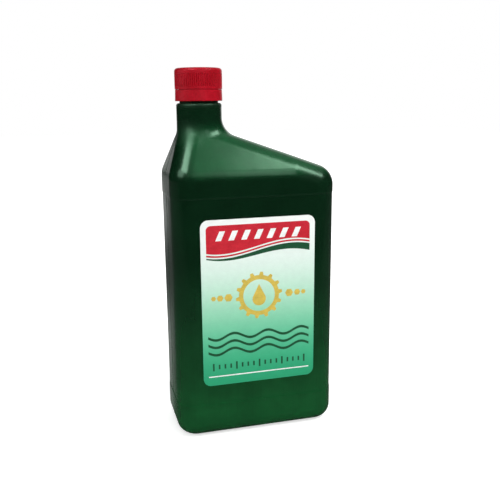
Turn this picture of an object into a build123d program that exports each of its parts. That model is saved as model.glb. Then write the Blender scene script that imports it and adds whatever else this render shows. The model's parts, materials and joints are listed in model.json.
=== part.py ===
"""One-quart motor oil bottle: a blow-moulded body with an offset neck, a screw cap, a tamper band and a front label.

Millimetres, +Z up. The origin is the middle of the foot, the label faces -Y and the neck stands over to -X.
"""

import os
from math import atan2, tan

from build123d import *

# Body and shoulder
body_width = 106.0
body_depth = 56.0
edge_radius = 13.0
base_radius = 9.5
wall = 0.9
shoulder_height = 170.2
shoulder_rise = 24.9
neck_margin = 22.75
root_radius = 12.0
crown_flat = 3.6

# Label panel, let in between an upper and a lower bumper band
lower_band = 22.3
upper_band = 13.3
panel_recess = 0.25
panel_step = 0.9

# Foot, pushed up inside its standing ring, with the weld line of the pinched parison across it
push_up = 3.0
push_up_margin = 15.0
push_up_corner = 8.0
push_up_taper = 35.0
pinch_width = 1.4
pinch_height = 0.6
pinch_taper = 25.0
pinch_margin = 9.0

# Neck: a round collar, then the finish that carries the cap
bore_radius = 10.2
finish_wall = 1.8
finish_height = 18.7
lip_radius = 0.6
collar_ledge = 2.1
collar_height = 17.7
collar_edge_radius = 1.5
throat_drop = 2.8

# Tamper band, held under a bead on the neck finish
band_rise = 1.2
band_height = 6.9
band_wall = 1.3
band_flare = 0.2
band_edge_radius = 0.4
lug_height = 1.3
bead_height = 1.6
bead_depth = 1.1
bridge_count = 8
bridge_width = 0.9
bridge_thickness = 0.6
bridge_clearance = 0.06
cap_gap = 0.25

# Screw cap and its sealing disc
cap_wall = 1.5
cap_top_thickness = 1.4
cap_edge_radius = 2.0
thread_depth = 0.9
running_clearance = 0.3
rib_count = 72
rib_groove_depth = 0.35
rib_margin = 1.4
liner_thickness = 0.9

# Front label, set in from the flat of the panel
label_side_margin = 2.95
label_end_margin = 13.45
label_corner = 5.0
label_thickness = 0.12

# Places, heights and radii that follow
neck_x = neck_margin - body_width / 2
neck_root_height = shoulder_height + shoulder_rise
panel_bottom = lower_band
panel_top = shoulder_height - upper_band
label_width = body_width - 2 * (edge_radius + label_side_margin)
label_height = panel_top - panel_bottom - 2 * label_end_margin
label_middle = (panel_bottom + panel_top) / 2
finish_radius = bore_radius + finish_wall
collar_radius = finish_radius + collar_ledge
collar_top = neck_root_height + collar_height
lip_height = collar_top + finish_height
band_bottom = collar_top + band_rise
band_top = band_bottom + band_height
skirt_bottom = band_top + cap_gap
cap_ceiling = lip_height + liner_thickness
cap_top = cap_ceiling + cap_top_thickness
cap_bore_radius = finish_radius + thread_depth + running_clearance
cap_radius = cap_bore_radius + cap_wall
bead_radius = finish_radius + bead_depth
bead_bottom = band_bottom + lug_height + running_clearance
band_bore_radius = bead_radius + running_clearance
band_radius = band_bore_radius + band_wall
neck_axis = Axis((neck_x, 0, 0), (0, 0, 1))
neck_plane = Plane(origin=(neck_x, 0, 0), x_dir=(1, 0, 0), z_dir=(0, -1, 0))


def eave_height(run):
    """Height at which a wall of the sharp core bends into a shoulder slope that comes in by run."""
    return shoulder_height - edge_radius * tan(atan2(run, shoulder_rise) / 2)


def sharp_core():
    """The body with its shoulder as flat faces alone, edge_radius inside the finished surface."""
    half_width = body_width / 2 - edge_radius
    half_depth = body_depth / 2 - edge_radius
    left_run = body_width / 2 + neck_x - collar_radius
    right_run = body_width / 2 - neck_x - collar_radius
    front_run = body_depth / 2 - collar_radius
    left_eave = eave_height(left_run)
    right_eave = eave_height(right_run)
    front_eave = eave_height(front_run)

    # The slopes stop at a crown that is still crown_flat wide both ways, hidden inside the collar
    slope_sum = (2 * half_width - crown_flat) * shoulder_rise
    crown = min(
        (slope_sum + left_run * left_eave + right_run * right_eave) / (left_run + right_run),
        front_eave + (half_depth - crown_flat / 2) * shoulder_rise / front_run,
    )
    crown_left = -half_width + left_run / shoulder_rise * (crown - left_eave)
    crown_right = half_width - right_run / shoulder_rise * (crown - right_eave)
    crown_front = half_depth - front_run / shoulder_rise * (crown - front_eave)

    with BuildPart() as core:
        with BuildSketch(Plane.XZ):
            with BuildLine():
                Polyline(
                    (-half_width, -edge_radius),
                    (half_width, -edge_radius),
                    (half_width, right_eave),
                    (crown_right, crown),
                    (crown_left, crown),
                    (-half_width, left_eave),
                    close=True,
                )
            make_face()
        extrude(amount=body_depth, both=True)
        with BuildSketch(Plane.YZ):
            with BuildLine():
                Polyline(
                    (-half_depth, -edge_radius),
                    (half_depth, -edge_radius),
                    (half_depth, front_eave),
                    (crown_front, crown),
                    (-crown_front, crown),
                    (-half_depth, front_eave),
                    close=True,
                )
            make_face()
        extrude(amount=body_width, both=True, mode=Mode.INTERSECT)
    return core.part


def body_section(inset):
    """Rounded rectangle of the body, drawn in by inset."""
    RectangleRounded(body_width - 2 * inset, body_depth - 2 * inset, edge_radius - inset)


def panel_gap(inset):
    """The sleeve of space that lets the label panel in, on a form drawn in by inset."""
    with BuildPart() as gap:
        with BuildSketch(Plane.XY.offset(panel_bottom)):
            body_section(inset - panel_recess)
        extrude(amount=panel_top - panel_bottom)
        for height, depth in (
            (panel_bottom, 0),
            (panel_bottom + panel_step, panel_recess),
            (panel_top - panel_step, panel_recess),
            (panel_top, 0),
        ):
            with BuildSketch(Plane.XY.offset(height)):
                body_section(inset + depth)
        loft(ruled=True, mode=Mode.SUBTRACT)
    return gap.part


def bottle_form(core, gap, inset, collar_end):
    """Body, shoulder and collar as one closed form, drawn in from the outside by inset."""
    with BuildPart() as form:
        add(core)
        offset(amount=edge_radius - inset)
        split(bisect_by=Plane.XY.offset(inset), keep=Keep.TOP)
        fillet(form.edges().group_by(Axis.Z)[0], base_radius - inset)
        with BuildSketch(Plane.XY.offset(shoulder_height)):
            with Locations((neck_x, 0)):
                Circle(collar_radius - inset)
        extrude(amount=collar_end - shoulder_height)
        collar = form.faces().filter_by(GeomType.CYLINDER).sort_by(Axis.Z)[-1]
        root_edges = collar.edges().filter_by(GeomType.LINE, reverse=True).sort_by(Axis.Z)[:-1]
        fillet(root_edges, root_radius + inset)
        add(gap, mode=Mode.SUBTRACT)
        with BuildSketch(Plane.XY.offset(inset)):
            RectangleRounded(
                body_width - 2 * (push_up_margin - inset),
                body_depth - 2 * (push_up_margin - inset),
                push_up_corner + inset,
            )
        extrude(amount=push_up, taper=push_up_taper, mode=Mode.SUBTRACT)
    return form.part


os.makedirs("parts", exist_ok=True)

body_core = sharp_core()
outside = bottle_form(body_core, panel_gap(0), 0, collar_top)
inside = bottle_form(body_core, panel_gap(wall), wall, collar_top - throat_drop)

with BuildPart() as bottle:
    add(outside)
    fillet(bottle.edges().group_by(Axis.Z)[-1], collar_edge_radius)

    # Neck finish, with the bead that keeps the tamper band on
    with BuildSketch(neck_plane):
        with BuildLine():
            Polyline(
                (0, collar_top - throat_drop),
                (finish_radius, collar_top - throat_drop),
                (finish_radius, bead_bottom),
                (bead_radius, bead_bottom),
                (bead_radius, bead_bottom + bead_height / 3),
                (finish_radius, bead_bottom + bead_height),
                (finish_radius, lip_height),
                (0, lip_height),
                close=True,
            )
        make_face()
    revolve(axis=neck_axis)

    # Hollow, and the throat that narrows from the collar to the mouth
    add(inside, mode=Mode.SUBTRACT)
    throat_radius = collar_radius - wall
    throat_bottom = collar_top - throat_drop
    with BuildSketch(neck_plane):
        with BuildLine():
            Polyline(
                (0, throat_bottom),
                (throat_radius, throat_bottom),
                (bore_radius, throat_bottom + throat_radius - bore_radius),
                (bore_radius, lip_height),
                (0, lip_height),
                close=True,
            )
        make_face()
    revolve(axis=neck_axis, mode=Mode.SUBTRACT)
    fillet(bottle.edges().group_by(Axis.Z)[-1], lip_radius)

    # Weld line under the foot
    with BuildSketch(Plane.XY.offset(push_up)):
        Rectangle(body_width - 2 * (push_up_margin + pinch_margin), pinch_width)
    extrude(amount=-pinch_height, taper=pinch_taper)

bottle.part.label = "bottle"
export_step(bottle.part, "parts/bottle.step")

with BuildPart() as tamper_band:
    with BuildSketch(neck_plane):
        with BuildLine():
            Polyline(
                (finish_radius + running_clearance, band_bottom),
                (band_radius, band_bottom),
                (band_radius - band_flare, band_top),
                (band_bore_radius, band_top),
                (band_bore_radius, band_bottom + lug_height),
                (finish_radius + running_clearance, band_bottom + lug_height),
                close=True,
            )
        make_face()
    revolve(axis=neck_axis)
    fillet(tamper_band.edges().group_by(Axis.Z)[0].sort_by(SortBy.LENGTH)[-1], band_edge_radius)
    with BuildSketch(Plane(origin=(neck_x, 0, band_top))):
        with PolarLocations((band_bore_radius + band_radius - band_flare) / 2, bridge_count):
            Rectangle(bridge_thickness, bridge_width)
    extrude(amount=cap_gap - bridge_clearance)

tamper_band.part.label = "tamper_band"
export_step(tamper_band.part, "parts/tamper_band.step")

with BuildPart() as screw_cap:
    with BuildSketch(Plane(origin=(neck_x, 0, skirt_bottom))):
        Circle(cap_radius)
    extrude(amount=cap_top - skirt_bottom)
    fillet(screw_cap.edges().group_by(Axis.Z)[-1], cap_edge_radius)
    with BuildSketch(Plane(origin=(neck_x, 0, skirt_bottom))):
        Circle(cap_bore_radius)
    extrude(amount=cap_ceiling - skirt_bottom, mode=Mode.SUBTRACT)
    with BuildSketch(Plane(origin=(neck_x, 0, skirt_bottom + rib_margin))):
        with PolarLocations(cap_radius, rib_count):
            RegularPolygon(rib_groove_depth, 4)
    extrude(amount=cap_top - cap_edge_radius - skirt_bottom - 2 * rib_margin, mode=Mode.SUBTRACT)

screw_cap.part.label = "screw_cap"
export_step(screw_cap.part, "parts/screw_cap.step")

with BuildPart() as cap_liner:
    with BuildSketch(Plane(origin=(neck_x, 0, lip_height))):
        Circle(cap_bore_radius - running_clearance)
    extrude(amount=liner_thickness)

cap_liner.part.label = "cap_liner"
export_step(cap_liner.part, "parts/cap_liner.step")

with BuildPart() as front_label:
    with BuildSketch(Plane.XZ.offset(body_depth / 2 - panel_recess)):
        with Locations((0, label_middle)):
            RectangleRounded(label_width, label_height, label_corner)
    extrude(amount=label_thickness)

front_label.part.label = "front_label"
export_step(front_label.part, "parts/front_label.step")
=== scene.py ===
"""The dressed oil bottle: its plastics and its paper, the print on its label, its threads and the studio.

Metres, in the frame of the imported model: +Z up, the label faces -Y and the neck stands over to -X.
"""

import json
import math

import bpy
from mathutils import Matrix, Vector


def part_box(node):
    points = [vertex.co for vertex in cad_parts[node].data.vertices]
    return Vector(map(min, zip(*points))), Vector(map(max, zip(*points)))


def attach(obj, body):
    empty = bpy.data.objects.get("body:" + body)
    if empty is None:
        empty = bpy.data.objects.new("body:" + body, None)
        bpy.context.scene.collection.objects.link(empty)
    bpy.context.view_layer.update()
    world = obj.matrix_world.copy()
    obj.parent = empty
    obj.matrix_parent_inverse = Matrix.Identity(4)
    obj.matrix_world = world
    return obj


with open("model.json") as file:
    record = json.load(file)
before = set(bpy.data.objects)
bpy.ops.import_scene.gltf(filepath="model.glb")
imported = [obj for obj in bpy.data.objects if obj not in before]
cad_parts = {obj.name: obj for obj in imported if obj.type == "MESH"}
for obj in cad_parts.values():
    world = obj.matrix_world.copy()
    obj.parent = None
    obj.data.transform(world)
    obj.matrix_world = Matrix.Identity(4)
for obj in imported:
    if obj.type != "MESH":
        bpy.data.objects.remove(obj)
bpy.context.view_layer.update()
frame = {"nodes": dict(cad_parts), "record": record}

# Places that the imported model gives
bottle_low, bottle_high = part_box("bottle")
cap_low, cap_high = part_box("screw_cap")
label_low, label_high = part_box("front_label")
label_middle = (label_low.z + label_high.z) / 2
neck_x = (cap_low.x + cap_high.x) / 2
thread_pitch = 2 * math.pi * frame["record"]["behaviour"]["couplings"][0]["ratio"]

MM = 0.001

# Camera, fitted to the outline and the label of the photograph
CAMERA_TARGET = Vector((1.88, 0.0, 116.78)) * MM
CAMERA_DISTANCE = 441.62 * MM
CAMERA_YAW = 15.31
CAMERA_PITCH = 12.77
CAMERA_ROLL = -0.54
CAMERA_LENS = 47.68
CAMERA_SENSOR = 36.0
CAMERA_CLIP = (0.01, 50.0)

# How far off the softboxes stand, what all lamps face, the card's pool of light, the foot of the left side
SOFTBOX_DISTANCE = 0.9
SHOULDER = Vector((0.0, -20.0, 178.0)) * MM
LIGHT_POOL = Vector((-75.0, 90.0, 0.0)) * MM
LEFT_SIDE = Vector((-53.0, 0.0, 0.0)) * MM

# Room: its backdrop, whose bearing counts from the label towards the right, its ceiling and its soft fill
BACKDROP_BEARING = 162.0
BACKDROP_EDGE = (0.82, 0.95)
BACKDROP_TOP = (0.6, 0.75)
CEILING_EDGE = (0.55, 0.8)
CEILING_LEVELS = (0.03, 0.5)
CEILING_LEFT_TO_RIGHT = (0.2, 0.5)
CEILING_SHARES = (0.1, 1.0)
ROOM_FILL = (0.38, 0.38, 0.38, 1.0)
WHITE = (1.0, 1.0, 1.0, 1.0)

# Card that the bottle stands on: its size, its tint, and its light by the distance from the foot or the pool
CARD_HALF_WIDTH = 2.5
CARD_FRONT = -0.36
CARD_BACK = 4.0
CARD_GRAIN_SCALE = 400.0
CARD_DARK = (0.84, 0.84, 0.84, 1.0)
CARD_LIGHT = (0.88, 0.88, 0.88, 1.0)
CARD_FAR = (0.45, 0.9)
CARD_FAR_LEVELS = (0.05, 0.8)
CARD_POOL = (0.05, 0.28)
CARD_POOL_LEVELS = (0.52, 0.0)
CARD_LEAST_MIRRORED = 0.12
CARD_GLOW = (0.06, 0.22)
CARD_GLOW_LEVELS = (0.56, 0.92)

# Threads on the neck finish and in the cap's bore
FINISH_RADIUS = 12.0 * MM
CAP_BORE_RADIUS = 13.2 * MM
NECK_RIDGE = 0.85 * MM
CAP_RIDGE = 0.8 * MM
NECK_THREAD_START = 223.4 * MM
NECK_THREAD_TURNS = 1.45
CAP_THREAD_TURNS = 1.2
THREAD_STEPS = 96
THREAD_END = (0.0, 0.09)
THREAD_END_SIZES = (0.25, 1.0)
RIDGE_STEPS = 14

# Line that the two halves of the mould leave, up both sides of the bottle
PARTING_FOOT = 1.2 * MM
PARTING_TOP = 210.8 * MM
PARTING_STEPS = 420
PARTING_BEAD = 0.3 * MM
PARTING_SUNK = 0.2 * MM
BEAD_STEPS = 10

# Ink on the label, and the distance within which the edges of a plate of it are one
INK_THICKNESS = 0.03 * MM
INK_SUNK = 0.01 * MM
WELD_DISTANCE = 1e-7

# Single patches of print, in millimetres from the middle of the label
PRINT_HALF_WIDTH = 33.6
PRINT_TOP = 50.3
PRINT_CORNER = 3.0
CORNER_STEPS = 8
SWEEP = ((-PRINT_HALF_WIDTH, 33.0), (-10.0, 28.5), (8.0, 44.0), (PRINT_HALF_WIDTH, 38.5))
SWEEP_STEPS = 48
DROP_HEIGHT = 1.6
DROP_RADIUS = 4.4
DROP_TIP = 9.8
DROP_STEPS = 48
FOOT_LINE_LOW = -48.2
FOOT_LINE_HIGH = -47.5

# Stripes: how far their upper and lower edges lie under the sweep, each at the left and at the right
RED_STRIPE = ((0.9, 0.9), (2.0, 2.0))
GREEN_STRIPE = ((2.9, 2.9), (3.7, 7.4))

# Heights of the repeated print, also from the middle of the label, and how finely it is drawn
BAR_HEIGHT = 43.6
GEAR_HEIGHT = 4.0
WAVE_HEIGHT = -26.5
TICK_HEIGHT = -41.5
TOOTH_STEPS = 8
TOOTH_MIDDLE = 2
TOOTH_HALF_WIDTH = 1.5
GEAR_HOLE_STEPS = 96
HEXAGON_SIDES = 6
WAVE_POINTS = 121


def srgb(red, green, blue):
    """A colour given as 0 to 255 on screen, as the linear colour that a shader takes."""
    linear = []
    for part in (red, green, blue):
        share = part / 255
        linear.append(share / 12.92 if share <= 0.04045 else ((share + 0.055) / 1.055) ** 2.4)
    return (*linear, 1.0)


# Node helpers
FLOAT = "NodeSocketFloat"
INT = "NodeSocketInt"
VECTOR = "NodeSocketVector"
GEOMETRY = "NodeSocketGeometry"
MATERIAL = "NodeSocketMaterial"
RISING = (0.0, 1.0)
FALLING = (1.0, 0.0)


def place(tree, kind, inputs=None, **settings):
    """Adds a node, sets its properties, and fills its inputs with values or with other nodes' outputs."""
    made = tree.nodes.new(kind)
    for name, value in settings.items():
        setattr(made, name, value)
    for key, value in (inputs or {}).items():
        if isinstance(value, bpy.types.NodeSocket):
            tree.links.new(value, made.inputs[key])
        else:
            made.inputs[key].default_value = value
    return made


def link_to(tree, node, results):
    """Links results to the inputs of a node by name."""
    for name, result in results.items():
        tree.links.new(result, node.inputs[name])


def math_node(tree, operation, *values, clamp=False):
    """The result of a Math node on values or sockets."""
    inputs = dict(enumerate(values))
    return place(tree, "ShaderNodeMath", inputs, operation=operation, use_clamp=clamp).outputs[0]


def total(tree, first, second):
    """Two values or sockets added together."""
    return math_node(tree, "ADD", first, second)


def difference(tree, first, second):
    """The second value or socket taken from the first."""
    return math_node(tree, "SUBTRACT", first, second)


def product(tree, first, second):
    """Two values or sockets multiplied."""
    return math_node(tree, "MULTIPLY", first, second)


def vector_node(tree, operation, *values):
    """The vector that comes out of a Vector Math node."""
    return place(tree, "ShaderNodeVectorMath", dict(enumerate(values)), operation=operation).outputs[0]


def measure(tree, operation, *values):
    """The number that comes out of a Vector Math node."""
    return place(tree, "ShaderNodeVectorMath", dict(enumerate(values)), operation=operation).outputs["Value"]


def axes(tree, vector):
    """The X, Y and Z of a vector, by name."""
    return place(tree, "ShaderNodeSeparateXYZ", {0: vector}).outputs


def from_axes(tree, **parts):
    """A vector put together from its X, Y and Z."""
    return place(tree, "ShaderNodeCombineXYZ", parts).outputs[0]


def share_of(tree, value, span):
    """How far a value is along a span, from 0 to 1."""
    ranges = {"Value": value, "From Min": span[0], "From Max": span[1]}
    return place(tree, "ShaderNodeMapRange", ranges).outputs["Result"]


def spread(tree, value, span, levels=RISING):
    """A value carried smoothly from one level to another over a span, and held at them outside it."""
    ranges = {"Value": value, "From Min": span[0], "From Max": span[1]}
    ranges.update({"To Min": levels[0], "To Max": levels[1]})
    return place(tree, "ShaderNodeMapRange", ranges, interpolation_type="SMOOTHSTEP").outputs["Result"]


def noise(tree, where, scale, detail, roughness=0.5):
    """The value of a noise texture."""
    inputs = {"Vector": where, "Scale": scale, "Detail": detail, "Roughness": roughness}
    return place(tree, "ShaderNodeTexNoise", inputs).outputs[0]


# The kinds of mix have sockets of the same names, so these go by number
def blend_values(tree, share, first, second):
    """Two values mixed by a share of the second."""
    return place(tree, "ShaderNodeMix", {0: share, 2: first, 3: second}, data_type="FLOAT").outputs[0]


def blend_colours(tree, share, first, second):
    """Two colours mixed by a share of the second."""
    return place(tree, "ShaderNodeMix", {0: share, 6: first, 7: second}, data_type="RGBA").outputs[2]


def start_group(name, kind, inputs, outputs):
    """A node group with named sockets. Gives the tree, its inputs by name, and its output node."""
    tree = bpy.data.node_groups.new(name, kind)
    for label, socket_type, value in inputs:
        socket = tree.interface.new_socket(label, in_out="INPUT", socket_type=socket_type)
        if value is not None:
            socket.default_value = value
    for label, socket_type in outputs:
        tree.interface.new_socket(label, in_out="OUTPUT", socket_type=socket_type)
    entry = tree.nodes.new("NodeGroupInput")
    return tree, entry.outputs, tree.nodes.new("NodeGroupOutput")


# Effects that several finishes share: how their patterns are stretched, and each pattern's share in them
DRAW_STRETCH = (1.0, 1.0, 0.012)
RIPPLE_FINENESS = 3.0
RIPPLE_SHARE = 0.3
CLOUD_SHARE = 0.85
GRAIN_SHARE = 0.6
LINE_SHARE = 0.15
STREAK_TURNS = ((0.4, (0.06, 1.0, 1.0)), (-0.3, (1.0, 0.5, 0.09)))
STREAK_SPAN = (0.62, 0.78)
PATCH_SCALE = 60.0
PATCH_SPAN = (0.4, 0.7)
FIBRE_STRETCH = (0.35, 1.0, 1.0)
FIBRE_SHARE = 0.45
INK_LAY_SHARE = 0.55


def moulded_skin_group():
    """Skin of a moulded plastic: cloudy pigment, faint lines along the mould's draw, fine grain and waves."""
    tree, given, out = start_group(
        "moulded_skin",
        "ShaderNodeTree",
        [
            ("Coordinates", VECTOR, None),
            ("Cloud Scale", FLOAT, 40.0),
            ("Draw Scale", FLOAT, 900.0),
            ("Grain Scale", FLOAT, 2400.0),
            ("Wave Scale", FLOAT, 55.0),
        ],
        [("Tone", FLOAT), ("Sheen", FLOAT), ("Grain Height", FLOAT), ("Wave Height", FLOAT)],
    )
    where = given["Coordinates"]
    cloud = noise(tree, where, given["Cloud Scale"], detail=4.0, roughness=0.6)
    drawn = vector_node(tree, "MULTIPLY", where, DRAW_STRETCH)
    lines = noise(tree, drawn, given["Draw Scale"], detail=3.0, roughness=0.55)
    grain = noise(tree, where, given["Grain Scale"], detail=2.0)
    wave = noise(tree, where, given["Wave Scale"], detail=1.0, roughness=0.4)
    ripple_scale = product(tree, given["Wave Scale"], RIPPLE_FINENESS)
    ripple = noise(tree, where, ripple_scale, detail=1.0, roughness=0.4)
    faint_lines = product(tree, lines, LINE_SHARE)
    results = {
        "Tone": total(tree, product(tree, cloud, CLOUD_SHARE), faint_lines),
        "Sheen": total(tree, product(tree, grain, GRAIN_SHARE), faint_lines),
        "Grain Height": total(tree, grain, faint_lines),
        "Wave Height": total(tree, wave, product(tree, ripple, RIPPLE_SHARE)),
    }
    link_to(tree, out, results)
    return tree


def handling_marks_group():
    """Light scuffs and settled dust from handling: thin streaks that cross each other, thinned by patches."""
    tree, given, out = start_group(
        "handling_marks",
        "ShaderNodeTree",
        [("Coordinates", VECTOR, None), ("Streak Scale", FLOAT, 300.0), ("Coverage", FLOAT, 0.4)],
        [("Marks", FLOAT)],
    )
    where = given["Coordinates"]
    masks = []
    for angle, stretch in STREAK_TURNS:
        turn = {"Vector": where, "Angle": angle}
        tilted = place(tree, "ShaderNodeVectorRotate", turn, rotation_type="Y_AXIS").outputs[0]
        drawn = vector_node(tree, "MULTIPLY", tilted, stretch)
        streaks = noise(tree, drawn, given["Streak Scale"], detail=2.0, roughness=0.6)
        masks.append(spread(tree, streaks, STREAK_SPAN))
    patches = spread(tree, noise(tree, where, PATCH_SCALE, detail=3.0, roughness=0.6), PATCH_SPAN)
    thinned = product(tree, math_node(tree, "MAXIMUM", *masks), patches)
    marks = math_node(tree, "MULTIPLY", thinned, given["Coverage"], clamp=True)
    link_to(tree, out, {"Marks": marks})
    return tree


def paper_grain_group():
    """Fibres of a coated paper and the uneven lay of printing ink on it."""
    tree, given, out = start_group(
        "paper_grain",
        "ShaderNodeTree",
        [("Coordinates", VECTOR, None), ("Fibre Scale", FLOAT, 1600.0), ("Ink Scale", FLOAT, 260.0)],
        [("Tone", FLOAT), ("Height", FLOAT)],
    )
    where = given["Coordinates"]
    long_fibres = vector_node(tree, "MULTIPLY", where, FIBRE_STRETCH)
    fibres = noise(tree, long_fibres, given["Fibre Scale"], detail=3.0, roughness=0.65)
    lay = noise(tree, where, given["Ink Scale"], detail=4.0, roughness=0.6)
    tone = total(tree, product(tree, fibres, FIBRE_SHARE), product(tree, lay, INK_LAY_SHARE))
    link_to(tree, out, {"Tone": tone, "Height": fibres})
    return tree


MOULDED_SKIN = moulded_skin_group()
HANDLING_MARKS = handling_marks_group()
PAPER_GRAIN = paper_grain_group()

# Greens of the bottle: in its upper half, lighter at the foot and on the shoulder as painted light, where
# scuffed, and in its gloss
GREEN_UPPER = (0.0018, 0.016, 0.0054, 1.0)
GREEN_FOOT_PAINTED_LIGHT = (0.0042, 0.065, 0.016, 1.0)
GREEN_SHOULDER_PAINTED_LIGHT = (0.0035, 0.066, 0.019, 1.0)
GREEN_SCUFF = (0.02, 0.06, 0.034, 1.0)
GREEN_GLOSS = (0.55, 1.0, 0.7, 1.0)
GREEN_TONES = (0.85, 1.15)
PAINTED_FOOT_LIGHT_POWER = 1.6

# Share of its scuffs that shows on the label panel, and on the bumper bands
SCUFF_SHARES = (0.15, 1.0)

# Roughness of the bottle, and what its scuffs, its collar's rim and the left of its collar's root add to it
GREEN_ROUGHNESS = (0.2, 0.28)
SCUFF_ROUGHNESS = 0.2
RIM_ROUGHNESS = (0.0, 0.25)
ROOT_ROUGHNESS = (0.0, 0.2)

# Stretches of the bottle's height over which its finish changes, among them those of the painted light on its
# foot and its shoulder
PAINTED_FOOT_LIGHT_SPAN = (128 * MM, 18 * MM)
SIDE_TOP = (150 * MM, 172 * MM)
PAINTED_SHOULDER_LIGHT_BASE = (166 * MM, 175 * MM)
ROOT_LOWER_EDGE = (184 * MM, 196 * MM)
ROOT_UPPER_EDGE = (196 * MM, 206 * MM)
PAINTED_SHOULDER_LIGHT_TOP = (189 * MM, 203 * MM)
COLLAR_RIM = (209 * MM, 212 * MM)

# Stretches of its width over which its finish changes, among them the painted shade of the shoulder's left
# corner, and the bow of its narrow sides
PAINTED_SHADE_LEFT_CORNER = (-48 * MM, -35 * MM)
ROOT_RIGHT_EDGE = (-40 * MM, -24 * MM)
SIDE_HALF_WIDTH = 15 * MM
SIDE_BOW = 0.4 * MM

# Reds of the cap and the band, and off-whites of the sealing disc's foam
RED_DEEP = (0.34, 0.0022, 0.009, 1.0)
RED_BRIGHT = (0.42, 0.0034, 0.014, 1.0)
RED_SCUFF = (0.5, 0.03, 0.045, 1.0)
RED_GLOSS = (1.0, 0.4, 0.45, 1.0)
RED_TONE_SPAN = (0.35, 0.65)
RED_ROUGHNESS = (0.34, 0.46)
FOAM_LIGHT = (0.78, 0.77, 0.72, 1.0)
FOAM_DARK = (0.62, 0.61, 0.56, 1.0)
CELL_SCALE = 2600.0
CELL_SPAN = (0.25, 0.75)
CELL_SHADE = 0.6

# Paper, which fades from green at its foot to white at its top, and inks, which lie thin or full on it
PAPER_FADE = (
    (0.0, srgb(28, 156, 108)),
    (0.16, srgb(48, 172, 124)),
    (0.34, srgb(102, 200, 157)),
    (0.54, srgb(176, 226, 198)),
    (0.76, srgb(232, 244, 238)),
    (1.0, srgb(243, 246, 243)),
)
PAPER_TONES = (0.96, 1.02)
PAPER_ROUGHNESS = (0.42, 0.54)
INK_ROUGHNESS = (0.36, 0.48)
GOLD_ROUGHNESS = (0.3, 0.42)
INK_THIN_GAIN = 1.16
INK_THIN_LIFT = 0.004
INK_FULL_GAIN = 0.9

# What the shared effects mostly lie between
TONE_SPAN = (0.3, 0.7)
SHEEN_SPAN = (0.25, 0.65)


# Finishes
def start_finish(name, **constants):
    """A material with a Principled shader and Object coordinates. Constants go on the shader's sockets."""
    material = bpy.data.materials.new(name)
    material.use_nodes = True
    tree = material.node_tree
    shader = tree.nodes["Principled BSDF"]
    for socket, value in constants.items():
        shader.inputs[socket.replace("_", " ")].default_value = value
    where = place(tree, "ShaderNodeTexCoord").outputs["Object"]
    return material, tree, shader, where


def effect(tree, group, where, **values):
    """The outputs of a shared effect, set into a finish with values of its own."""
    inputs = {"Coordinates": where}
    for socket, value in values.items():
        inputs[socket.replace("_", " ")] = value
    return place(tree, "ShaderNodeGroup", inputs, node_tree=group).outputs


def bump(tree, height, distance, strength=1.0, under=None):
    """A Bump node's normal for a height of this many metres, laid over another one."""
    inputs = {"Height": height, "Distance": distance, "Strength": strength}
    if under is not None:
        inputs["Normal"] = under
    return place(tree, "ShaderNodeBump", inputs).outputs["Normal"]


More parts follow.
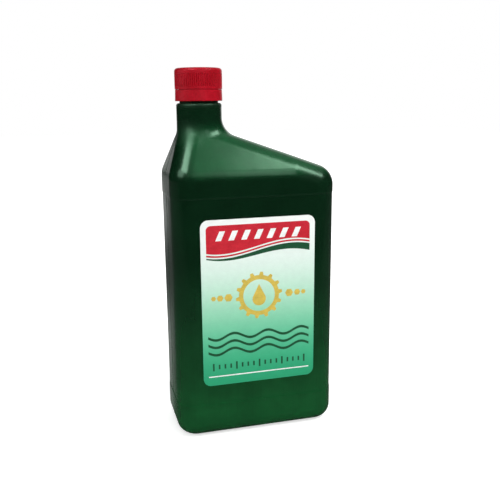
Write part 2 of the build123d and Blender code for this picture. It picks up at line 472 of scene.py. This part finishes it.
def bottle_green(panel_depth, bottle_depth):
    """Blow-moulded polyethylene in a dark green: satin, a little wavy, scuffed on its two bumper bands."""
    material, tree, shader, where = start_finish(
        "bottle_green", IOR=1.54, Specular_IOR_Level=0.5, Specular_Tint=GREEN_GLOSS
    )
    skin = effect(tree, MOULDED_SKIN, where)
    marks = effect(tree, HANDLING_MARKS, where, Coverage=0.35)
    spot = axes(tree, where)

    # Painted light makes the foot and the shoulder a lighter green, and painted shade keeps the shoulder's
    # left corner dark
    painted_foot_light = math_node(tree, "POWER", share_of(tree, spot["Z"], PAINTED_FOOT_LIGHT_SPAN), PAINTED_FOOT_LIGHT_POWER)
    green_with_foot_light = blend_colours(tree, painted_foot_light, GREEN_UPPER, GREEN_FOOT_PAINTED_LIGHT)
    above_shoulder_light_base = spread(tree, spot["Z"], PAINTED_SHOULDER_LIGHT_BASE)
    below_shoulder_light_top = spread(tree, spot["Z"], PAINTED_SHOULDER_LIGHT_TOP, FALLING)
    clear_of_corner_shade = spread(tree, spot["X"], PAINTED_SHADE_LEFT_CORNER)
    shoulder = product(tree, product(tree, above_shoulder_light_base, below_shoulder_light_top), clear_of_corner_shade)
    even = blend_colours(tree, shoulder, green_with_foot_light, GREEN_SHOULDER_PAINTED_LIGHT)
    tone = spread(tree, skin["Tone"], TONE_SPAN, GREEN_TONES)
    plain = place(tree, "ShaderNodeHueSaturation", {"Color": even, "Value": tone}).outputs["Color"]

    # Scuffs stay on the surfaces that stand proud of the label panel
    depth = math_node(tree, "ABSOLUTE", spot["Y"])
    proud = spread(tree, depth, (panel_depth, bottle_depth), SCUFF_SHARES)
    scuffs = product(tree, marks["Marks"], proud)

    # The collar's rim is duller, as the mould's blasted neck ring leaves it, and so is the left of its root
    satin = spread(tree, skin["Sheen"], SHEEN_SPAN, GREEN_ROUGHNESS)
    rim = spread(tree, spot["Z"], COLLAR_RIM, RIM_ROUGHNESS)
    above_root = spread(tree, spot["Z"], ROOT_UPPER_EDGE, FALLING)
    root = product(tree, spread(tree, spot["Z"], ROOT_LOWER_EDGE, ROOT_ROUGHNESS), above_root)
    drawn_out = product(tree, root, spread(tree, spot["X"], ROOT_RIGHT_EDGE, FALLING))
    worn = total(tree, total(tree, rim, drawn_out), product(tree, scuffs, SCUFF_ROUGHNESS))

    # The narrow sides bow out a little between their corners
    off_middle = math_node(tree, "MINIMUM", math_node(tree, "DIVIDE", depth, SIDE_HALF_WIDTH), 1.0)
    bowed = difference(tree, 1.0, math_node(tree, "POWER", off_middle, 2.0))
    on_side = spread(tree, spot["Z"], SIDE_TOP, FALLING)
    bow = bump(tree, product(tree, bowed, on_side), distance=SIDE_BOW)
    waves = bump(tree, skin["Wave Height"], distance=0.25 * MM, strength=0.6, under=bow)
    results = {
        "Base Color": blend_colours(tree, scuffs, plain, GREEN_SCUFF),
        "Roughness": total(tree, satin, worn),
        "Normal": bump(tree, skin["Grain Height"], distance=0.012 * MM, strength=0.5, under=waves),
    }
    link_to(tree, shader, results)
    return material


def cap_red():
    """Injection-moulded polypropylene in a deep red, finely grained and lightly scuffed."""
    material, tree, shader, where = start_finish(
        "cap_red", IOR=1.5, Specular_IOR_Level=0.32, Specular_Tint=RED_GLOSS
    )
    skin = effect(
        tree, MOULDED_SKIN, where, Cloud_Scale=120.0, Draw_Scale=1400.0, Grain_Scale=3200.0, Wave_Scale=160.0
    )
    marks = effect(tree, HANDLING_MARKS, where, Streak_Scale=700.0, Coverage=0.3)
    plain = blend_colours(tree, spread(tree, skin["Tone"], RED_TONE_SPAN), RED_DEEP, RED_BRIGHT)
    waves = bump(tree, skin["Wave Height"], distance=0.06 * MM, strength=0.5)
    results = {
        "Base Color": blend_colours(tree, marks["Marks"], plain, RED_SCUFF),
        "Roughness": spread(tree, skin["Sheen"], SHEEN_SPAN, RED_ROUGHNESS),
        "Normal": bump(tree, skin["Grain Height"], distance=0.014 * MM, strength=0.6, under=waves),
    }
    link_to(tree, shader, results)
    return material


def liner_white():
    """Foamed polyethylene sealing disc: off-white, matt, with closed cells."""
    material, tree, shader, where = start_finish("liner_white", IOR=1.45, Roughness=0.7)
    skin = effect(tree, MOULDED_SKIN, where, Cloud_Scale=200.0)
    cells = place(tree, "ShaderNodeTexVoronoi", {"Vector": where, "Scale": CELL_SCALE}, feature="F1")
    rims = spread(tree, cells.outputs["Distance"], CELL_SPAN)
    shade = math_node(tree, "ADD", product(tree, rims, CELL_SHADE), skin["Tone"], clamp=True)
    results = {
        "Base Color": blend_colours(tree, shade, FOAM_LIGHT, FOAM_DARK),
        "Normal": bump(tree, rims, distance=0.05 * MM, strength=0.7),
    }
    link_to(tree, shader, results)
    return material


def label_stock(low, high):
    """Coated label paper, printed in a fade from white at the top to green at the foot."""
    material, tree, shader, where = start_finish("label_stock", IOR=1.45, Specular_IOR_Level=0.4)
    grain = effect(tree, PAPER_GRAIN, where)
    ramp = place(tree, "ShaderNodeValToRGB", {"Fac": share_of(tree, axes(tree, where)["Z"], (low, high))})
    fade = ramp.color_ramp
    fade.interpolation = "B_SPLINE"
    while len(fade.elements) < len(PAPER_FADE):
        fade.elements.new(0.5)
    for element, (position, colour) in zip(fade.elements, PAPER_FADE):
        element.position = position
        element.color = colour
    tone = spread(tree, grain["Tone"], TONE_SPAN, PAPER_TONES)
    uneven = place(tree, "ShaderNodeHueSaturation", {"Color": ramp.outputs["Color"], "Value": tone})
    results = {
        "Base Color": uneven.outputs["Color"],
        "Roughness": spread(tree, grain["Tone"], TONE_SPAN, PAPER_ROUGHNESS),
        "Normal": bump(tree, grain["Height"], distance=0.012 * MM, strength=0.5),
    }
    link_to(tree, shader, results)
    return material


def ink(name, colour, roughness=INK_ROUGHNESS):
    """A printing ink that lies a little unevenly on the paper's fibres."""
    material, tree, shader, where = start_finish(name, IOR=1.5, Specular_IOR_Level=0.4)
    grain = effect(tree, PAPER_GRAIN, where)
    thin = [min(1.0, part * INK_THIN_GAIN + INK_THIN_LIFT) for part in colour[:3]]
    full = [part * INK_FULL_GAIN for part in colour[:3]]
    shade = spread(tree, grain["Tone"], TONE_SPAN)
    results = {
        "Base Color": blend_colours(tree, shade, (*full, 1.0), (*thin, 1.0)),
        "Roughness": spread(tree, grain["Tone"], TONE_SPAN, roughness),
        "Normal": bump(tree, grain["Height"], distance=0.01 * MM, strength=0.5),
    }
    link_to(tree, shader, results)
    return material


# Geometry helpers
def circle(tree, steps, radius):
    """A round curve of so many steps."""
    inputs = {"Resolution": steps, "Radius": radius}
    return place(tree, "GeometryNodeCurvePrimitiveCircle", inputs, mode="RADIUS").outputs[0]


def filled(tree, curve, mode):
    """A flat curve filled with faces."""
    return place(tree, "GeometryNodeFillCurve", {"Curve": curve}, mode=mode).outputs[0]


def joined(tree, *parts):
    """Several geometries as one."""
    both = place(tree, "GeometryNodeJoinGeometry")
    for part in parts:
        tree.links.new(part, both.inputs["Geometry"])
    return both.outputs["Geometry"]


def shifted(tree, geometry, offset):
    """Geometry whose points each move by an offset."""
    return place(tree, "GeometryNodeSetPosition", {"Geometry": geometry, "Offset": offset}).outputs[0]


def own_index(tree):
    """The number of each point."""
    return place(tree, "GeometryNodeInputIndex").outputs[0]


def own_position(tree):
    """The position of each point."""
    return place(tree, "GeometryNodeInputPosition").outputs[0]


def thicken(tree, faces, thickness):
    """Flat faces made into a closed plate that stands up from them."""
    extrusion = {"Mesh": faces, "Offset Scale": thickness, "Individual": False}
    raised = place(tree, "GeometryNodeExtrudeMesh", extrusion).outputs["Mesh"]
    under = place(tree, "GeometryNodeFlipFaces", {"Mesh": faces}).outputs["Mesh"]
    open_plate = joined(tree, raised, under)
    weld = {"Geometry": open_plate, "Distance": WELD_DISTANCE}
    return place(tree, "GeometryNodeMergeByDistance", weld).outputs["Geometry"]


def in_row(tree, count, spacing):
    """How far each of a number of points lies from the middle of their row."""
    middle = math_node(tree, "DIVIDE", difference(tree, count, 1), 2)
    return product(tree, difference(tree, own_index(tree), middle), spacing)


def repeated(tree, count, spots, plate, size=(1.0, 1.0, 1.0)):
    """A plate set on a number of points, at a size for each."""
    points = place(tree, "GeometryNodePoints", {"Count": count, "Position": spots}).outputs[0]
    copies = {"Points": points, "Instance": plate, "Scale": size}
    return place(tree, "GeometryNodeInstanceOnPoints", copies).outputs[0]


def finish_tree(tree, out, geometry, material, smooth=True):
    """Ends a geometry tree: instances made real, shading and material set."""
    real = place(tree, "GeometryNodeRealizeInstances", {"Geometry": geometry}).outputs[0]
    shaded = place(tree, "GeometryNodeSetShadeSmooth", {"Geometry": real, "Shade Smooth": smooth}).outputs[0]
    dressed = place(tree, "GeometryNodeSetMaterial", {"Geometry": shaded, "Material": material}).outputs[0]
    link_to(tree, out, {"Geometry": dressed})


def start_print(name, inputs):
    """A geometry tree for flat print, drawn with X across the label and Y up it."""
    shared = [("Thickness", FLOAT, INK_THICKNESS), ("Place", VECTOR, None), ("Material", MATERIAL, None)]
    return start_group(name, "GeometryNodeTree", [*inputs, *shared], [("Geometry", GEOMETRY)])


def finish_print(tree, given, out, plates):
    """Stands flat print up on the label."""
    turned = {"Geometry": plates, "Rotation": (math.pi / 2, 0.0, 0.0), "Translation": given["Place"]}
    upright = place(tree, "GeometryNodeTransform", turned).outputs[0]
    finish_tree(tree, out, upright, given["Material"], smooth=False)


# Geometry trees
def thread_tree():
    """A round ridge that climbs a cylinder as a right-hand screw and fades out at both ends."""
    tree, given, out = start_group(
        "thread_ridge",
        "GeometryNodeTree",
        [
            ("Cylinder Radius", FLOAT, FINISH_RADIUS),
            ("Ridge Radius", FLOAT, NECK_RIDGE),
            ("Pitch", FLOAT, thread_pitch),
            ("Turns", FLOAT, NECK_THREAD_TURNS),
            ("Place", VECTOR, None),
            ("Steps Per Turn", INT, THREAD_STEPS),
            ("Material", MATERIAL, None),
        ],
        [("Geometry", GEOMETRY)],
    )
    spiral = place(
        tree,
        "GeometryNodeCurveSpiral",
        {
            "Resolution": given["Steps Per Turn"],
            "Rotations": given["Turns"],
            "Start Radius": given["Cylinder Radius"],
            "End Radius": given["Cylinder Radius"],
            "Height": product(tree, given["Pitch"], given["Turns"]),
            "Reverse": True,
        },
    )
    along = place(tree, "GeometryNodeSplineParameter").outputs["Factor"]
    from_middle = math_node(tree, "ABSOLUTE", difference(tree, along, 0.5))
    swell = spread(tree, difference(tree, 0.5, from_middle), THREAD_END, THREAD_END_SIZES)
    ridge = place(
        tree,
        "GeometryNodeCurveToMesh",
        {
            "Curve": spiral.outputs[0],
            "Profile Curve": circle(tree, RIDGE_STEPS, given["Ridge Radius"]),
            "Scale": swell,
            "Fill Caps": True,
        },
    )
    lift = {"Geometry": ridge.outputs[0], "Translation": given["Place"]}
    finish_tree(tree, out, place(tree, "GeometryNodeTransform", lift).outputs[0], given["Material"])
    return tree


def bead_tree():
    """A thin round bead along a path."""
    tree, given, out = start_group(
        "bead",
        "GeometryNodeTree",
        [("Geometry", GEOMETRY, None), ("Bead Radius", FLOAT, PARTING_BEAD), ("Material", MATERIAL, None)],
        [("Geometry", GEOMETRY)],
    )
    line = place(tree, "GeometryNodeMeshToCurve", {"Mesh": given["Geometry"]}).outputs[0]
    profile = circle(tree, BEAD_STEPS, given["Bead Radius"])
    sweep = {"Curve": line, "Profile Curve": profile, "Fill Caps": True}
    finish_tree(tree, out, place(tree, "GeometryNodeCurveToMesh", sweep).outputs[0], given["Material"])
    return tree


def gear_tree():
    """A toothed ring."""
    tree, given, out = start_print(
        "gear_ring",
        [
            ("Teeth", INT, 14),
            ("Radius", FLOAT, 13.2 * MM),
            ("Tooth Height", FLOAT, 2.1 * MM),
            ("Hole Radius", FLOAT, 10.4 * MM),
        ],
    )
    rim = circle(tree, product(tree, given["Teeth"], TOOTH_STEPS), given["Radius"])
    # Three of every eight points stand out as a tooth
    turn = math_node(tree, "MODULO", own_index(tree), TOOTH_STEPS)
    from_tooth = math_node(tree, "ABSOLUTE", difference(tree, turn, TOOTH_MIDDLE))
    height = product(tree, math_node(tree, "LESS_THAN", from_tooth, TOOTH_HALF_WIDTH), given["Tooth Height"])
    outwards = vector_node(tree, "NORMALIZE", own_position(tree))
    offset = place(tree, "ShaderNodeVectorMath", {0: outwards, "Scale": height}, operation="SCALE").outputs[0]
    hole = circle(tree, GEAR_HOLE_STEPS, given["Hole Radius"])
    faces = filled(tree, joined(tree, shifted(tree, rim, offset), hole), "TRIANGLES")
    finish_print(tree, given, out, thicken(tree, faces, given["Thickness"]))
    return tree


def hexagon_tree():
    """Hexagons that grow smaller from the middle out to both sides."""
    tree, given, out = start_print(
        "hexagon_string",
        [
            ("Count", INT, 6),
            ("Hexagon Radius", FLOAT, 2.7 * MM),
            ("First Distance", FLOAT, 20.0 * MM),
            ("Spacing", FLOAT, 6.0 * MM),
            ("Shrink", FLOAT, 0.2),
        ],
    )
    # They go to the left and to the right in turn, one step further out after each pair
    index = own_index(tree)
    side = difference(tree, product(tree, math_node(tree, "MODULO", index, 2), 2), 1)
    step = math_node(tree, "FLOOR", math_node(tree, "DIVIDE", index, 2))
    size = difference(tree, 1, product(tree, step, given["Shrink"]))
    # Each gap shrinks with the hexagon beside it
    half_shrink = math_node(tree, "DIVIDE", given["Shrink"], 2)
    narrowing = difference(tree, 1, product(tree, step, half_shrink))
    reach = product(tree, product(tree, step, given["Spacing"]), narrowing)
    across = product(tree, side, total(tree, given["First Distance"], reach))
    faces = filled(tree, circle(tree, HEXAGON_SIDES, given["Hexagon Radius"]), "NGONS")
    plate = thicken(tree, faces, given["Thickness"])
    flat_size = from_axes(tree, X=size, Y=size, Z=1.0)
    spots = from_axes(tree, X=across)
    finish_print(tree, given, out, repeated(tree, given["Count"], spots, plate, flat_size))
    return tree


def wave_tree():
    """Wavy stripes, one under the other."""
    tree, given, out = start_print(
        "wave_stripes",
        [
            ("Stripes", INT, 3),
            ("Length", FLOAT, 2 * PRINT_HALF_WIDTH * MM),
            ("Stripe Width", FLOAT, 1.7 * MM),
            ("Spacing", FLOAT, 5.0 * MM),
            ("Wave Length", FLOAT, 22.4 * MM),
            ("Wave Height", FLOAT, 1.9 * MM),
        ],
    )
    grid = {"Size X": given["Length"], "Size Y": given["Stripe Width"]}
    grid.update({"Vertices X": WAVE_POINTS, "Vertices Y": 2})
    strip = place(tree, "GeometryNodeMeshGrid", grid).outputs["Mesh"]
    across = axes(tree, own_position(tree))["X"]
    turn = product(tree, math_node(tree, "DIVIDE", across, given["Wave Length"]), 2 * math.pi)
    swing = product(tree, math_node(tree, "SINE", turn), given["Wave Height"])
    plate = thicken(tree, shifted(tree, strip, from_axes(tree, Y=swing)), given["Thickness"])
    spots = from_axes(tree, Y=in_row(tree, given["Stripes"], given["Spacing"]))
    finish_print(tree, given, out, repeated(tree, given["Stripes"], spots, plate))
    return tree


def tick_tree():
    """A row of bars like the marks of a gauge, upright or slanted, every few of them taller."""
    tree, given, out = start_print(
        "tick_row",
        [
            ("Count", INT, 17),
            ("Spacing", FLOAT, 3.8 * MM),
            ("Tick Width", FLOAT, 1.1 * MM),
            ("Tick Height", FLOAT, 3.0 * MM),
            ("Tall Every", INT, 4),
            ("Tall Share", FLOAT, 1.7),
            ("Slant", FLOAT, 0.0),
        ],
    )
    bar = place(
        tree,
        "GeometryNodeCurvePrimitiveQuadrilateral",
        {"Width": given["Tick Width"], "Height": given["Tick Height"]},
        mode="RECTANGLE",
    ).outputs[0]
    up = axes(tree, own_position(tree))["Y"]
    lean = from_axes(tree, X=product(tree, up, given["Slant"]))
    plate = thicken(tree, filled(tree, shifted(tree, bar, lean), "NGONS"), given["Thickness"])
    since_tall = math_node(tree, "MODULO", own_index(tree), given["Tall Every"])
    tall = math_node(tree, "LESS_THAN", since_tall, 0.5)
    growth = product(tree, tall, difference(tree, given["Tall Share"], 1))
    size = from_axes(tree, X=1.0, Y=total(tree, growth, 1), Z=1.0)
    spots = from_axes(tree, X=in_row(tree, given["Count"], given["Spacing"]))
    finish_print(tree, given, out, repeated(tree, given["Count"], spots, plate, size))
    return tree


def grown(name, tree, start=None, **values):
    """Runs a geometry tree on an object that starts empty or with a mesh, and keeps the mesh it makes."""
    piece = bpy.data.objects.new(name, start or bpy.data.meshes.new(name))
    bpy.context.scene.collection.objects.link(piece)
    modifier = piece.modifiers.new(name, "NODES")
    modifier.node_group = tree
    for socket in tree.interface.items_tree:
        key = socket.name.lower().replace(" ", "_")
        if socket.in_out == "INPUT" and key in values:
            modifier[socket.identifier] = values[key]
    bpy.context.view_layer.update()
    evaluated = piece.evaluated_get(bpy.context.evaluated_depsgraph_get())
    mesh = bpy.data.meshes.new_from_object(evaluated)
    mesh.name = name
    piece.modifiers.remove(modifier)
    piece.data = mesh
    return piece


# Single patches of print
def sweep_points(drop_left, drop_right):
    """The sweeping lower edge of the red field, let down by a distance at the left and one at the right."""
    points = []
    for step in range(SWEEP_STEPS + 1):
        share = step / SWEEP_STEPS
        rest = 1 - share
        weights = (rest**3, 3 * rest**2 * share, 3 * rest * share**2, share**3)
        across = sum(weight * point[0] for weight, point in zip(weights, SWEEP))
        height = sum(weight * point[1] for weight, point in zip(weights, SWEEP))
        points.append((across, height - drop_left * rest - drop_right * share))
    return points


def stripe_outline(upper, lower):
    """A stripe between two lines that follow the sweep, each let down at the left and at the right."""
    return sweep_points(*lower) + sweep_points(*upper)[::-1]


def field_outline():
    """The red field, from its sweeping lower edge up to two rounded corners."""
    outline = sweep_points(0.0, 0.0)
    for side, start in ((1, 0.0), (-1, 90.0)):
        for step in range(CORNER_STEPS + 1):
            angle = math.radians(start + step * 90 / CORNER_STEPS)
            across = side * (PRINT_HALF_WIDTH - PRINT_CORNER) + PRINT_CORNER * math.cos(angle)
            outline.append((across, PRINT_TOP - PRINT_CORNER + PRINT_CORNER * math.sin(angle)))
    return outline


def drop_outline():
    """A drop of oil: a round foot, and sides that run up to a tip."""
    reach = math.acos(DROP_RADIUS / DROP_TIP)
    begin = math.pi / 2 + reach
    around = 2 * (math.pi - reach)
    outline = [(0.0, DROP_HEIGHT + DROP_TIP)]
    for step in range(DROP_STEPS + 1):
        angle = begin + around * step / DROP_STEPS
        outline.append((DROP_RADIUS * math.cos(angle), DROP_HEIGHT + DROP_RADIUS * math.sin(angle)))
    return outline


def foot_line_outline():
    """A thin line along the foot of the print."""
    return [
        (-PRINT_HALF_WIDTH, FOOT_LINE_LOW),
        (PRINT_HALF_WIDTH, FOOT_LINE_LOW),
        (PRINT_HALF_WIDTH, FOOT_LINE_HIGH),
        (-PRINT_HALF_WIDTH, FOOT_LINE_HIGH),
    ]


def printed(name, outline, finish):
    """A flat patch of ink on the label, from an outline that runs anticlockwise as the label is read."""
    back = label_low.y + INK_SUNK
    corners = []
    for depth in (back, back - INK_THICKNESS):
        corners += [(across * MM, depth, label_middle + height * MM) for across, height in outline]
    count = len(outline)
    under = list(range(count))
    over = list(range(count, 2 * count))
    sides = [(under[i - 1], under[i], over[i], over[i - 1]) for i in range(count)]
    mesh = bpy.data.meshes.new(name)
    mesh.from_pydata(corners, [], [tuple(under[::-1]), tuple(over), *sides])
    mesh.materials.append(finish)
    piece = bpy.data.objects.new(name, mesh)
    bpy.context.scene.collection.objects.link(piece)
    return piece


def on_label(height, layer=0):
    """The place of repeated print whose middle is at a height on the label, over a number of other inks."""
    return (0.0, label_low.y + INK_SUNK - layer * (INK_THICKNESS - INK_SUNK), label_middle + height * MM)


def parting_path(bottle, half_width):
    """The outside of the bottle in the plane between the mould halves, up its left and its right side."""
    points = []
    edges = []
    # The bead stays level with the bumper bands, which are the widest place
    limit = half_width - PARTING_BEAD
    for side in (-1, 1):
        for step in range(PARTING_STEPS + 1):
            height = PARTING_FOOT + (PARTING_TOP - PARTING_FOOT) * step / PARTING_STEPS
            begin = Vector((side * 2 * half_width, 0.0, height))
            _, at, facing, _ = bottle.ray_cast(begin, Vector((-side, 0.0, 0.0)))
            spot = at - facing * PARTING_SUNK
            points.append((max(-limit, min(limit, spot.x)), 0.0, spot.z))
            if step:
                edges.append((len(points) - 2, len(points) - 1))
    mesh = bpy.data.meshes.new("parting_path")
    mesh.from_pydata(points, edges, [])
    return mesh


# Studio
def build_camera():
    """The camera that the photograph was taken with, as far as its outlines tell."""
    yaw, pitch, roll = (math.radians(angle) for angle in (CAMERA_YAW, CAMERA_PITCH, CAMERA_ROLL))
    forward = Vector((math.sin(yaw) * math.cos(pitch), math.cos(yaw) * math.cos(pitch), -math.sin(pitch)))
    level = forward.cross(Vector((0, 0, 1))).normalized()
    upright = level.cross(forward)
    right = level * math.cos(roll) + upright * math.sin(roll)
    up = upright * math.cos(roll) - level * math.sin(roll)
    data = bpy.data.cameras.new("photo_camera")
    data.lens = CAMERA_LENS
    data.sensor_width = CAMERA_SENSOR
    data.clip_start, data.clip_end = CAMERA_CLIP
    camera = bpy.data.objects.new("photo_camera", data)
    bpy.context.scene.collection.objects.link(camera)
    place_at = Matrix((right, up, -forward)).transposed().to_4x4()
    place_at.translation = CAMERA_TARGET - forward * CAMERA_DISTANCE
    camera.matrix_world = place_at
    bpy.context.scene.camera = camera


def softbox(name, bearing, rise, size, strength, distance=SOFTBOX_DISTANCE, mirrored=True, lights=True):
    """A lamp that faces the shoulder from a bearing and a rise above the horizon, both in degrees.

    The bearing counts from the label towards the right. Strength is the lamp's own brightness, where 1 is
    white. A lamp that isn't mirrored makes no highlight, and one with lights off makes highlights alone.
    """
    data = bpy.data.lights.new(name, "AREA")
    data.shape = "RECTANGLE"
    data.size, data.size_y = size
    data.energy = strength * math.pi * size[0] * size[1]
    lamp = bpy.data.objects.new(name, data)
    bpy.context.scene.collection.objects.link(lamp)
    turn = math.radians(bearing)
    climb = math.radians(rise)
    towards = Vector((math.sin(turn) * math.cos(climb), -math.cos(turn) * math.cos(climb), math.sin(climb)))
    lamp.location = SHOULDER + towards * distance
    lamp.rotation_euler = towards.to_track_quat("Z", "Y").to_euler()
    lamp.visible_glossy = mirrored
    lamp.visible_diffuse = lights
    lamp.visible_camera = False


def fill(name, **lamp):
    """A broad lamp that lights without a highlight."""
    softbox(name, mirrored=False, **lamp)


def towards_backdrop(tree, direction):
    """How far a direction points at the backdrop, which stands behind the bottle, a little to its right."""
    bearing = math.radians(BACKDROP_BEARING)
    aim = (math.sin(bearing), -math.cos(bearing), 0.0)
    level = vector_node(tree, "NORMALIZE", vector_node(tree, "MULTIPLY", direction, (1.0, 1.0, 0.0)))
    return spread(tree, measure(tree, "DOT_PRODUCT", level, aim), BACKDROP_EDGE)


def build_world():
    """White for the camera, a dark room with a white backdrop and a pale ceiling for gloss, else a fill."""
    world = bpy.data.worlds.new("studio")
    bpy.context.scene.world = world
    world.use_nodes = True
    tree = world.node_tree
    background = tree.nodes["Background"]
    rays = place(tree, "ShaderNodeLightPath").outputs
    direction = place(tree, "ShaderNodeTexCoord").outputs["Generated"]
    spot = axes(tree, direction)
    overhead = spread(tree, spot["Z"], CEILING_EDGE, CEILING_LEVELS)
    ceiling = product(tree, overhead, spread(tree, spot["X"], CEILING_LEFT_TO_RIGHT, CEILING_SHARES))
    under_top = spread(tree, spot["Z"], BACKDROP_TOP, FALLING)
    backdrop = product(tree, towards_backdrop(tree, direction), under_top)
    mirrored = math_node(tree, "MAXIMUM", backdrop, ceiling)
    seen_in_gloss = math_node(tree, "MAXIMUM", rays["Is Glossy Ray"], rays["Is Transmission Ray"])
    reflected = place(tree, "ShaderNodeCombineColor", {0: mirrored, 1: mirrored, 2: mirrored}).outputs[0]
    lit = blend_colours(tree, seen_in_gloss, ROOM_FILL, reflected)
    link_to(tree, background, {"Color": blend_colours(tree, rays["Is Camera Ray"], lit, WHITE)})
    background.inputs["Strength"].default_value = 1.0


def build_floor():
    """A sheet of pale card, which ends a little way in front of the bottle and runs far out behind it."""
    mesh = bpy.data.meshes.new("studio_floor")
    corners = [
        (-CARD_HALF_WIDTH, CARD_FRONT, 0),
        (CARD_HALF_WIDTH, CARD_FRONT, 0),
        (CARD_HALF_WIDTH, CARD_BACK, 0),
        (-CARD_HALF_WIDTH, CARD_BACK, 0),
    ]
    mesh.from_pydata(corners, [], [(0, 1, 2, 3)])
    floor = bpy.data.objects.new("studio_floor", mesh)
    bpy.context.scene.collection.objects.link(floor)
    material = bpy.data.materials.new("studio_card")
    material.use_nodes = True
    tree = material.node_tree
    tree.nodes.remove(tree.nodes["Principled BSDF"])
    rays = place(tree, "ShaderNodeLightPath").outputs
    where = place(tree, "ShaderNodeTexCoord").outputs["Object"]
    tint = blend_colours(tree, noise(tree, where, CARD_GRAIN_SCALE, detail=3.0), CARD_DARK, CARD_LIGHT)

    # Mirrored in the bottle, the card is brightest far behind it and in a pool of light by its left back
    from_foot = measure(tree, "LENGTH", where)
    backdrop = towards_backdrop(tree, vector_node(tree, "SUBTRACT", where, LEFT_SIDE))
    far = spread(tree, from_foot, CARD_FAR, CARD_FAR_LEVELS)
    pool = spread(tree, measure(tree, "DISTANCE", where, LIGHT_POOL), CARD_POOL, CARD_POOL_LEVELS)
    mirrored = total(tree, product(tree, backdrop, total(tree, far, pool)), CARD_LEAST_MIRRORED)
    shown = blend_values(tree, rays["Is Glossy Ray"], 1.0, mirrored)
    paled = place(tree, "ShaderNodeHueSaturation", {"Color": tint, "Value": shown}).outputs["Color"]
    card = place(tree, "ShaderNodeBsdfDiffuse", {"Color": paled}).outputs[0]

    # The card shows as white all the way out and keeps the shadow round the foot. From below it is clear
    seen = math_node(tree, "MAXIMUM", rays["Is Camera Ray"], rays["Is Transmission Ray"])
    level = spread(tree, from_foot, CARD_GLOW, CARD_GLOW_LEVELS)
    glow = place(tree, "ShaderNodeEmission", {"Strength": product(tree, seen, level)}).outputs[0]
    lit = place(tree, "ShaderNodeAddShader", {0: card, 1: glow}).outputs[0]
    clear = place(tree, "ShaderNodeBsdfTransparent").outputs[0]
    below = place(tree, "ShaderNodeNewGeometry").outputs["Backfacing"]
    surface = place(tree, "ShaderNodeMixShader", {0: below, 1: lit, 2: clear}).outputs[0]
    link_to(tree, tree.nodes["Material Output"], {"Surface": surface})
    mesh.materials.append(material)


def build_lamps():
    """Five softboxes, whose mirror images lie on the shoulder and its hips, and four broad fills."""
    softbox("front_softbox", bearing=-10.0, rise=42.0, size=(0.93, 0.66), strength=0.35)
    softbox("low_softbox", bearing=20.0, rise=27.0, size=(0.155, 0.42), strength=2.6)
    softbox("right_softbox", bearing=48.5, rise=46.0, size=(0.46, 0.32), strength=9.0)
    softbox("left_softbox", bearing=-55.0, rise=51.0, size=(0.47, 0.32), strength=9.5, lights=False)
    softbox("corner_softbox", bearing=-68.0, rise=29.0, size=(0.48, 0.36), strength=3.4, lights=False)
    fill("left_fill", bearing=-105.0, rise=10.0, size=(1.2, 1.0), strength=2.3, distance=1.6)
    fill("overhead_fill", bearing=180.0, rise=75.0, size=(1.4, 1.4), strength=0.5, distance=1.4)
    fill("front_fill", bearing=-5.0, rise=18.0, size=(1.2, 0.9), strength=2.1, distance=1.6)
    fill("back_fill", bearing=160.0, rise=30.0, size=(1.2, 1.0), strength=0.8, distance=1.6)


bpy.context.scene.view_settings.view_transform = "Standard"
build_camera()
build_world()
build_floor()
build_lamps()

# The carried-over solids, each in its own finish
nodes = frame["nodes"]
finishes = {
    "bottle": bottle_green(abs(label_high.y), abs(bottle_low.y)),
    "screw_cap": cap_red(),
    "cap_liner": liner_white(),
    "front_label": label_stock(label_low.z, label_high.z),
}
finishes["tamper_band"] = finishes["screw_cap"]
for name, finish in finishes.items():
    nodes[name].data.materials.clear()
    nodes[name].data.materials.append(finish)

# Threads on the neck finish and in the cap, half a pitch apart, so that they pass each other as the cap turns
thread = thread_tree()
neck_thread = grown(
    "neck_thread",
    thread,
    place=(neck_x, 0.0, NECK_THREAD_START),
    material=finishes["bottle"],
)
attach(neck_thread, "bottle")
cap_thread = grown(
    "cap_thread",
    thread,
    cylinder_radius=CAP_BORE_RADIUS,
    ridge_radius=CAP_RIDGE,
    turns=CAP_THREAD_TURNS,
    place=(neck_x, 0.0, NECK_THREAD_START + thread_pitch / 2),
    material=finishes["screw_cap"],
)
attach(cap_thread, "cap")

# Parting line of the mould
path = parting_path(nodes["bottle"], bottle_high.x)
parting_line = grown("parting_line", bead_tree(), path, material=finishes["bottle"])
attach(parting_line, "bottle")

# Print on the label
red_ink = ink("red_ink", srgb(196, 22, 42))
green_ink = ink("deep_green_ink", srgb(16, 78, 46))
gold_ink = ink("gold_ink", srgb(206, 180, 76), GOLD_ROUGHNESS)
white_ink = ink("white_ink", srgb(238, 242, 238))
ticks = tick_tree()
prints = [
    printed("print_red_field", field_outline(), red_ink),
    printed("print_red_stripe", stripe_outline(*RED_STRIPE), red_ink),
    printed("print_green_stripe", stripe_outline(*GREEN_STRIPE), green_ink),
    printed("print_oil_drop", drop_outline(), gold_ink),
    printed("print_foot_line", foot_line_outline(), white_ink),
    grown("print_gear", gear_tree(), place=on_label(GEAR_HEIGHT), material=gold_ink),
    grown("print_hexagons", hexagon_tree(), place=on_label(GEAR_HEIGHT), material=gold_ink),
    grown("print_waves", wave_tree(), place=on_label(WAVE_HEIGHT), material=green_ink),
    grown("print_gauge_ticks", ticks, place=on_label(TICK_HEIGHT), material=green_ink),
    grown(
        "print_slanted_bars",
        ticks,
        count=7,
        spacing=8.2 * MM,
        tick_width=3.6 * MM,
        tick_height=6.0 * MM,
        tall_share=1.0,
        slant=0.45,
        place=on_label(BAR_HEIGHT, 1),
        material=white_ink,
    ),
]
for patch in prints:
    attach(patch, "bottle")
